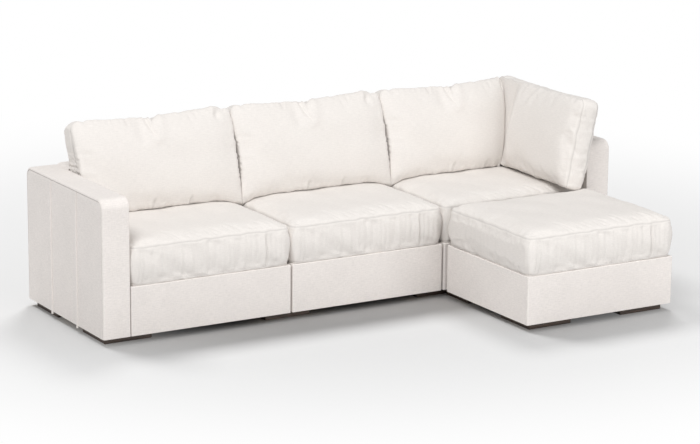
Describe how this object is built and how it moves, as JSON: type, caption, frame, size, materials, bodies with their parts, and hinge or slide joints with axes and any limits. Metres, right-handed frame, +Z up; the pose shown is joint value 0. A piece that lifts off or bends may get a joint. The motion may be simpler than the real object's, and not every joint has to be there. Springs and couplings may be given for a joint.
{
  "type": "sectional sofa with chaise",
  "caption": "Low modular sofa in pale fabric: a row of boxed seats with slab arms and backs, leaning pillows and dark block feet, and a matching loose seat module as its chaise.",
  "frame": {"origin": "on the floor under the middle of the sofa's overall box", "axes": "+X along the row towards the side panel on a sitter's left, +Y towards the backs, +Z up; the row and the chaise face -Y"},
  "size_m": [2.953, 1.649, 0.9884],
  "materials": {
    "cover_fabric": "matte",
    "cushion_fabric": "matte",
    "liner_fabric": "matte",
    "padding": "matte",
    "frame_wood": "matte",
    "foot_wood": "satin",
    "spring_wire": "satin",
    "coupling_steel": "satin"
  },
  "bodies": {
    "row": {"seat_1_frame": "frame_wood", "seat_1_springs": "spring_wire", "seat_1_deck_pad": "padding", "seat_1_cover": "cover_fabric", "seat_1_dust_cover": "liner_fabric", "seat_2_frame": "frame_wood", "seat_2_springs": "spring_wire", "seat_2_deck_pad": "padding", "seat_2_cover": "cover_fabric", "seat_2_dust_cover": "liner_fabric", "seat_3_frame": "frame_wood", "seat_3_springs": "spring_wire", "seat_3_deck_pad": "padding", "seat_3_cover": "cover_fabric", "seat_3_dust_cover": "liner_fabric", "left_arm_frame": "frame_wood", "left_arm_padding": "padding", "left_arm_cover": "cover_fabric", "back_1_frame": "frame_wood", "back_1_padding": "padding", "back_1_cover": "cover_fabric", "back_2_frame": "frame_wood", "back_2_padding": "padding", "back_2_cover": "cover_fabric", "back_3_frame": "frame_wood", "back_3_padding": "padding", "back_3_cover": "cover_fabric", "right_side_frame": "frame_wood", "right_side_padding": "padding", "right_side_cover": "cover_fabric", "foot_front_1": "foot_wood", "foot_front_2": "foot_wood", "foot_front_3": "foot_wood", "foot_front_4": "foot_wood", "foot_back_1": "foot_wood", "foot_back_2": "foot_wood", "foot_back_3": "foot_wood", "foot_back_4": "foot_wood", "coupling_left_arm": "coupling_steel", "coupling_right_side": "coupling_steel", "coupling_back_1": "coupling_steel", "coupling_back_2": "coupling_steel", "coupling_back_3": "coupling_steel"},
    "chaise_base": {"chaise_frame": "frame_wood", "chaise_springs": "spring_wire", "chaise_deck_pad": "padding", "chaise_cover": "cover_fabric", "chaise_dust_cover": "liner_fabric", "chaise_foot_front_left": "foot_wood", "chaise_foot_front_right": "foot_wood", "chaise_foot_rear_left": "foot_wood", "chaise_foot_rear_right": "foot_wood"},
    "loose_cushion_1": {"seat_1_cushion": "cushion_fabric"},
    "loose_cushion_2": {"seat_2_cushion": "cushion_fabric"},
    "loose_cushion_3": {"seat_3_cushion": "cushion_fabric"},
    "loose_chaise_cushion": {"chaise_cushion": "cushion_fabric"},
    "loose_pillow_1": {"back_pillow_1": "cushion_fabric"},
    "loose_pillow_2": {"back_pillow_2": "cushion_fabric"},
    "loose_pillow_3": {"back_pillow_3": "cushion_fabric"},
    "loose_corner_pillow": {"corner_pillow": "cushion_fabric"}
  },
  "joints": [
    {"name": "chaise_slide", "type": "slide", "parent": "row", "child": "chaise_base", "axis": [0, -1, 0], "range_m": [0, 0.6]},
    {"name": "chaise_cushion_slide", "type": "slide", "parent": "chaise_base", "child": "loose_chaise_cushion", "axis": [0, -1, 0], "range_m": [0, 0.3]},
    {"name": "cushion_1_lift", "type": "slide", "parent": "row", "child": "loose_cushion_1", "axis": [0, 0, 1], "range_m": [0, 0.3]},
    {"name": "cushion_2_lift", "type": "slide", "parent": "row", "child": "loose_cushion_2", "axis": [0, 0, 1], "range_m": [0, 0.3]},
    {"name": "cushion_3_lift", "type": "slide", "parent": "row", "child": "loose_cushion_3", "axis": [0, 0, 1], "range_m": [0, 0.3]},
    {"name": "pillow_1_lift", "type": "slide", "parent": "loose_cushion_1", "child": "loose_pillow_1", "axis": [0, 0, 1], "range_m": [0, 0.3]},
    {"name": "pillow_2_lift", "type": "slide", "parent": "loose_cushion_2", "child": "loose_pillow_2", "axis": [0, 0, 1], "range_m": [0, 0.3]},
    {"name": "pillow_3_lift", "type": "slide", "parent": "loose_cushion_3", "child": "loose_pillow_3", "axis": [0, 0, 1], "range_m": [0, 0.3]},
    {"name": "corner_pillow_lift", "type": "slide", "parent": "loose_cushion_3", "child": "loose_corner_pillow", "axis": [0.2079, 0, 0.9781], "range_m": [0, 0.3]}
  ]
}
